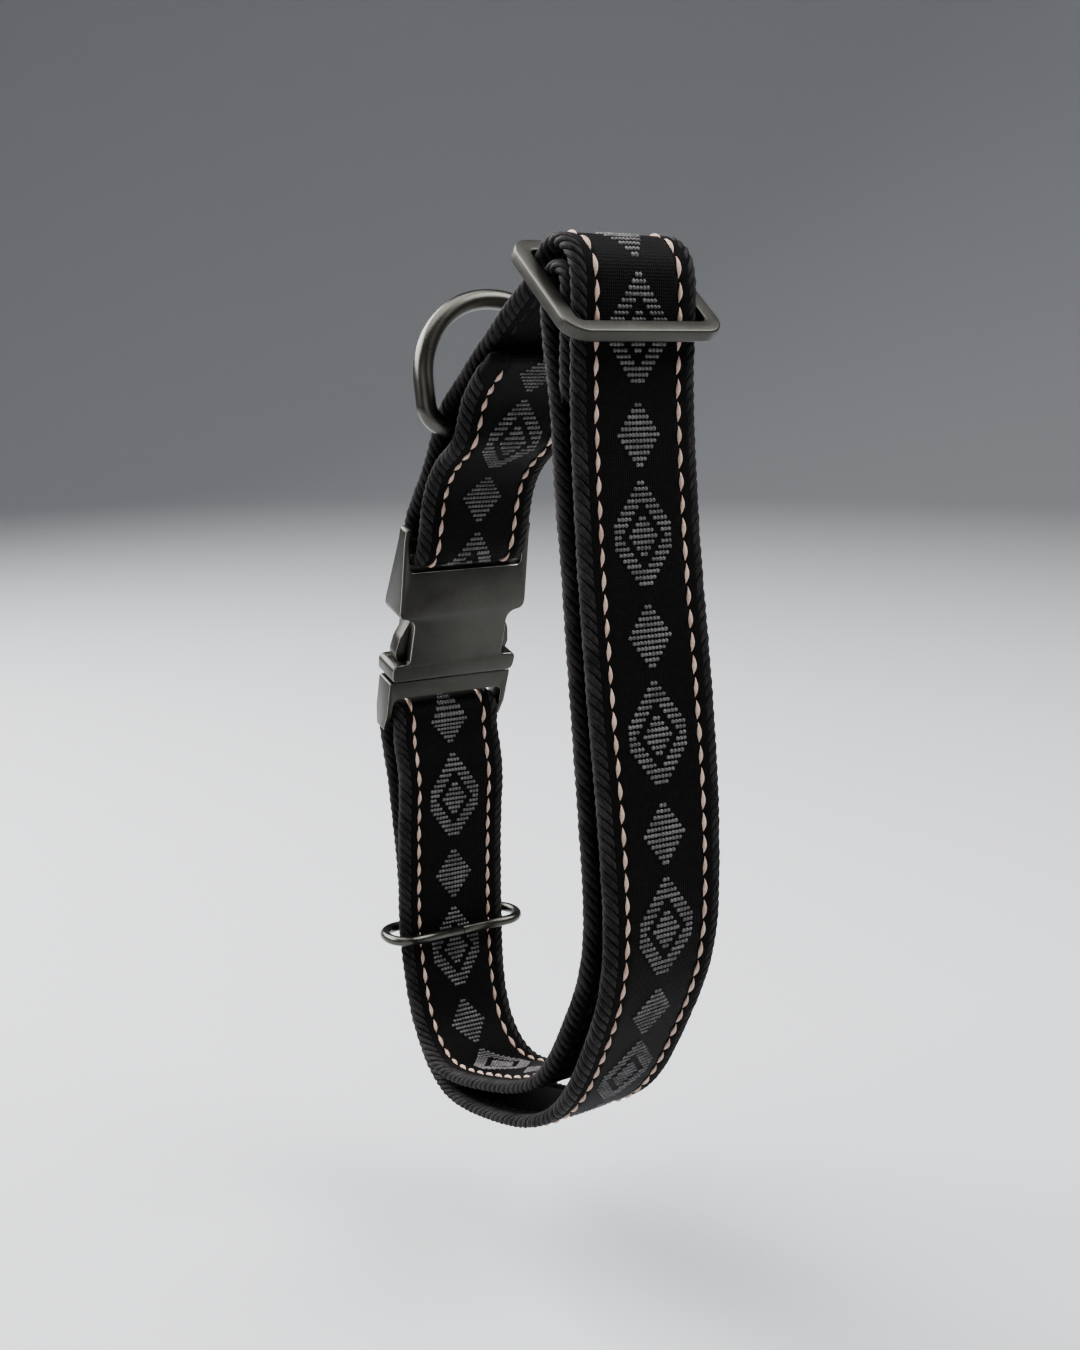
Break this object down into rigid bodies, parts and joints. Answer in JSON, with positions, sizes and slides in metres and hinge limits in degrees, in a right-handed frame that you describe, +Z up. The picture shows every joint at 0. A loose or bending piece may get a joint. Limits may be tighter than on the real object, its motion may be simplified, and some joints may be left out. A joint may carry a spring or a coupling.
{
  "type": "dog collar",
  "caption": "Adjustable woven dog collar with slider, side-release metal buckle, leash ring and wire keeper, hanging upright as a closed loop.",
  "frame": {"origin": "inside top of the hanging loop, where a peg along Y would hold it beside the sewn turn at the slider", "axes": "+X from the buckle's side of the loop towards the slider's side, Y across the webbing, +Z up"},
  "size_m": [0.0871, 0.0358, 0.1759],
  "materials": {
    "strap_webbing": "woven, near black, with a satin band",
    "slider_metal": "matt blasted gunmetal",
    "socket_metal": "matt blasted gunmetal",
    "insert_metal": "matt blasted gunmetal",
    "release_arm_left_metal": "matt blasted gunmetal",
    "release_arm_right_metal": "matt blasted gunmetal",
    "ring_metal": "satin gunmetal plate",
    "keeper_metal": "satin gunmetal plate"
  },
  "bodies": {
    "collar": {"strap": "strap_webbing", "slider_frame": "slider_metal", "buckle_socket": "socket_metal", "buckle_insert": "insert_metal", "keeper_ring": "keeper_metal"},
    "leash_ring": {"d_ring": "ring_metal"},
    "arm_left": {"release_arm_left": "release_arm_left_metal"},
    "arm_right": {"release_arm_right": "release_arm_right_metal"}
  },
  "joints": [
    {"name": "ring_swing", "type": "hinge", "parent": "collar", "child": "leash_ring", "pos_m": [-0.02992, 0, -0.01821], "axis": [0, 1, 0], "range_deg": [-102, 33]},
    {"name": "arm_left_squeeze", "type": "hinge", "parent": "collar", "child": "arm_left", "pos_m": [-0.0544, -0.0093, -0.07183], "axis": [-0.9563, 0, 0.2924], "range_deg": [0, 18], "stiffness_Nm_per_rad": 0.01},
    {"name": "arm_right_squeeze", "type": "hinge", "parent": "collar", "child": "arm_right", "pos_m": [-0.0544, 0.0093, -0.07183], "axis": [0.9563, 0, -0.2924], "range_deg": [0, 18], "stiffness_Nm_per_rad": 0.01}
  ]
}
